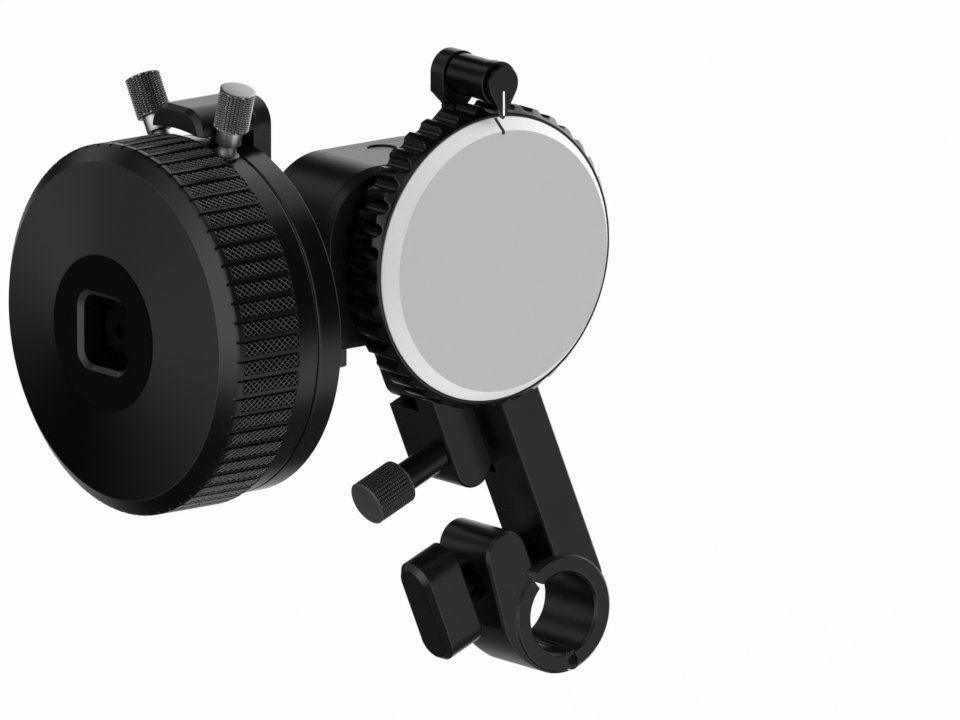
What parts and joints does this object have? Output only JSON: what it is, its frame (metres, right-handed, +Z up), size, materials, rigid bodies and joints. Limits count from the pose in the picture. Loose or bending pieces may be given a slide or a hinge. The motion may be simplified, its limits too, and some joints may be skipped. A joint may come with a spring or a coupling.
{
  "type": "follow focus unit",
  "caption": "Single-sided follow focus for a 15 mm rod: knurled hand wheel with hard stops turns a marking disc and a lens drive gear through a gearbox on a sliding clamp arm.",
  "frame": {"origin": "on the axis of the clamp's rod bore, half way along the clamp", "axes": "X along the hand wheel's axis, with the wheel at -X; Y along the rod and the lens, with the marking disc's face at -Y; Z up"},
  "size_m": [0.1091, 0.0682, 0.1209],
  "materials": {
    "black_anodised": "satin black anodised",
    "dark_anodised": "knurled dark grey anodised",
    "knurled_black": "knurled black anodised",
    "black_oxide_steel": "black oxide",
    "bright_steel": "ground steel",
    "gear_brass": "machined brass",
    "nickel": "nickel plated magnet",
    "disc_white": "matt light grey face with a white bevel",
    "gear_black": "black acetal",
    "line_white": "white paint"
  },
  "bodies": {
    "arm": {"clamp_arm": "black_anodised", "jaw_pin": "black_oxide_steel"},
    "jaw": {"clamp_jaw": "black_anodised"},
    "washer": {"wing_washer": "black_oxide_steel"},
    "wing": {"wing_stud": "black_oxide_steel", "wing_knob": "black_anodised"},
    "carriage": {"gearbox_housing": "black_anodised", "gearbox_cover": "black_anodised", "cover_screws": "black_oxide_steel", "top_plug": "black_oxide_steel", "slide_block": "black_anodised", "foot_screws": "black_oxide_steel", "neck_tube": "black_anodised", "stop_bracket": "black_anodised", "bracket_screws": "black_oxide_steel", "output_bearing_front": "bright_steel", "output_bearing_rear": "bright_steel", "wheel_bearing_outer": "bright_steel", "wheel_bearing_inner": "bright_steel", "shaft_bush": "gear_brass", "pointer_arm": "black_anodised", "pointer_screws": "black_oxide_steel", "pointer_pin": "bright_steel"},
    "lock": {"lock_knob": "dark_anodised", "lock_pad": "gear_brass"},
    "drag": {"drag_screw": "dark_anodised"},
    "hand_wheel": {"handwheel_rim": "knurled_black", "handwheel_face": "black_anodised", "socket_hub": "black_anodised", "wheel_shaft": "bright_steel", "wheel_screw": "black_oxide_steel", "wheel_gear": "gear_brass"},
    "marker": {"marking_wheel": "black_anodised", "marking_disc": "disc_white", "disc_magnet": "nickel", "output_shaft": "bright_steel", "output_gear": "bright_steel", "drive_hub": "bright_steel", "drive_gear": "gear_black", "drive_screw": "black_oxide_steel"},
    "front_stop": {"stop_ring_front": "black_anodised"},
    "front_stop_screw": {"stop_screw_front": "dark_anodised"},
    "rear_stop": {"stop_ring_rear": "black_anodised"},
    "rear_stop_screw": {"stop_screw_rear": "dark_anodised"},
    "pointer": {"pointer_barrel": "black_anodised", "pointer_plate": "black_anodised", "pointer_line": "line_white"}
  },
  "joints": [
    {"name": "jaw_pivot", "type": "hinge", "parent": "arm", "child": "jaw", "pos_m": [0.00232, 0.0001, -0.00911], "axis": [0, -1, 0], "range_deg": [0, 3.6]},
    {"name": "wing_travel", "type": "slide", "parent": "arm", "child": "washer", "axis": [-0.9252, 0, -0.3795], "range_m": [0, 0.0016]},
    {"name": "wing_turn", "type": "hinge", "parent": "washer", "child": "wing", "pos_m": [-0.01561, 0.0001, 0.00722], "axis": [-0.9252, 0, -0.3795], "range_deg": [0, 725]},
    {"name": "carriage_slide", "type": "slide", "parent": "arm", "child": "carriage", "axis": [-0.3795, 0, 0.9252], "range_m": [-0.001, 0.01]},
    {"name": "lock_turn", "type": "hinge", "parent": "carriage", "child": "lock", "pos_m": [-0.02031, 0.004, 0.0308], "axis": [-0.9252, 0, -0.3795], "range_deg": [0, 270]},
    {"name": "drag_turn", "type": "hinge", "parent": "carriage", "child": "drag", "pos_m": [-0.0449, 0.0045, 0.0558], "axis": [0, 0, -1], "range_deg": [0, 180]},
    {"name": "wheel_spin", "type": "hinge", "parent": "carriage", "child": "hand_wheel", "pos_m": [-0.0978, 0.0045, 0.0643], "axis": [1, 0, 0], "continuous": true},
    {"name": "marker_spin", "type": "hinge", "parent": "carriage", "child": "marker", "pos_m": [-0.0223, 0, 0.0711], "axis": [0, 1, 0], "continuous": true},
    {"name": "front_stop_turn", "type": "hinge", "parent": "carriage", "child": "front_stop", "pos_m": [-0.07885, 0.0045, 0.0643], "axis": [1, 0, 0], "range_deg": [0, 140]},
    {"name": "rear_stop_turn", "type": "hinge", "parent": "carriage", "child": "rear_stop", "pos_m": [-0.07355, 0.0045, 0.0643], "axis": [1, 0, 0], "range_deg": [-140, 5]},
    {"name": "front_screw_turn", "type": "hinge", "parent": "front_stop", "child": "front_stop_screw", "pos_m": [-0.07627, 0.0045, 0.0643], "axis": [0, -0.2723, 0.9622], "range_deg": [0, 270]},
    {"name": "rear_screw_turn", "type": "hinge", "parent": "rear_stop", "child": "rear_stop_screw", "pos_m": [-0.07097, 0.0045, 0.0643], "axis": [0, 0.4879, 0.8729], "range_deg": [0, 270]},
    {"name": "pointer_turn", "type": "hinge", "parent": "carriage", "child": "pointer", "pos_m": [-0.0223, -0.005, 0.10405], "axis": [0, 1, 0], "range_deg": [-100, 100]}
  ],
  "couplings": [
    {"joint": "jaw_pivot", "follows": "wing_travel", "rad_per_m": 38.168},
    {"joint": "wing_turn", "follows": "wing_travel", "rad_per_m": 7854},
    {"joint": "marker_spin", "follows": "wheel_spin", "ratio": 1}
  ]
}
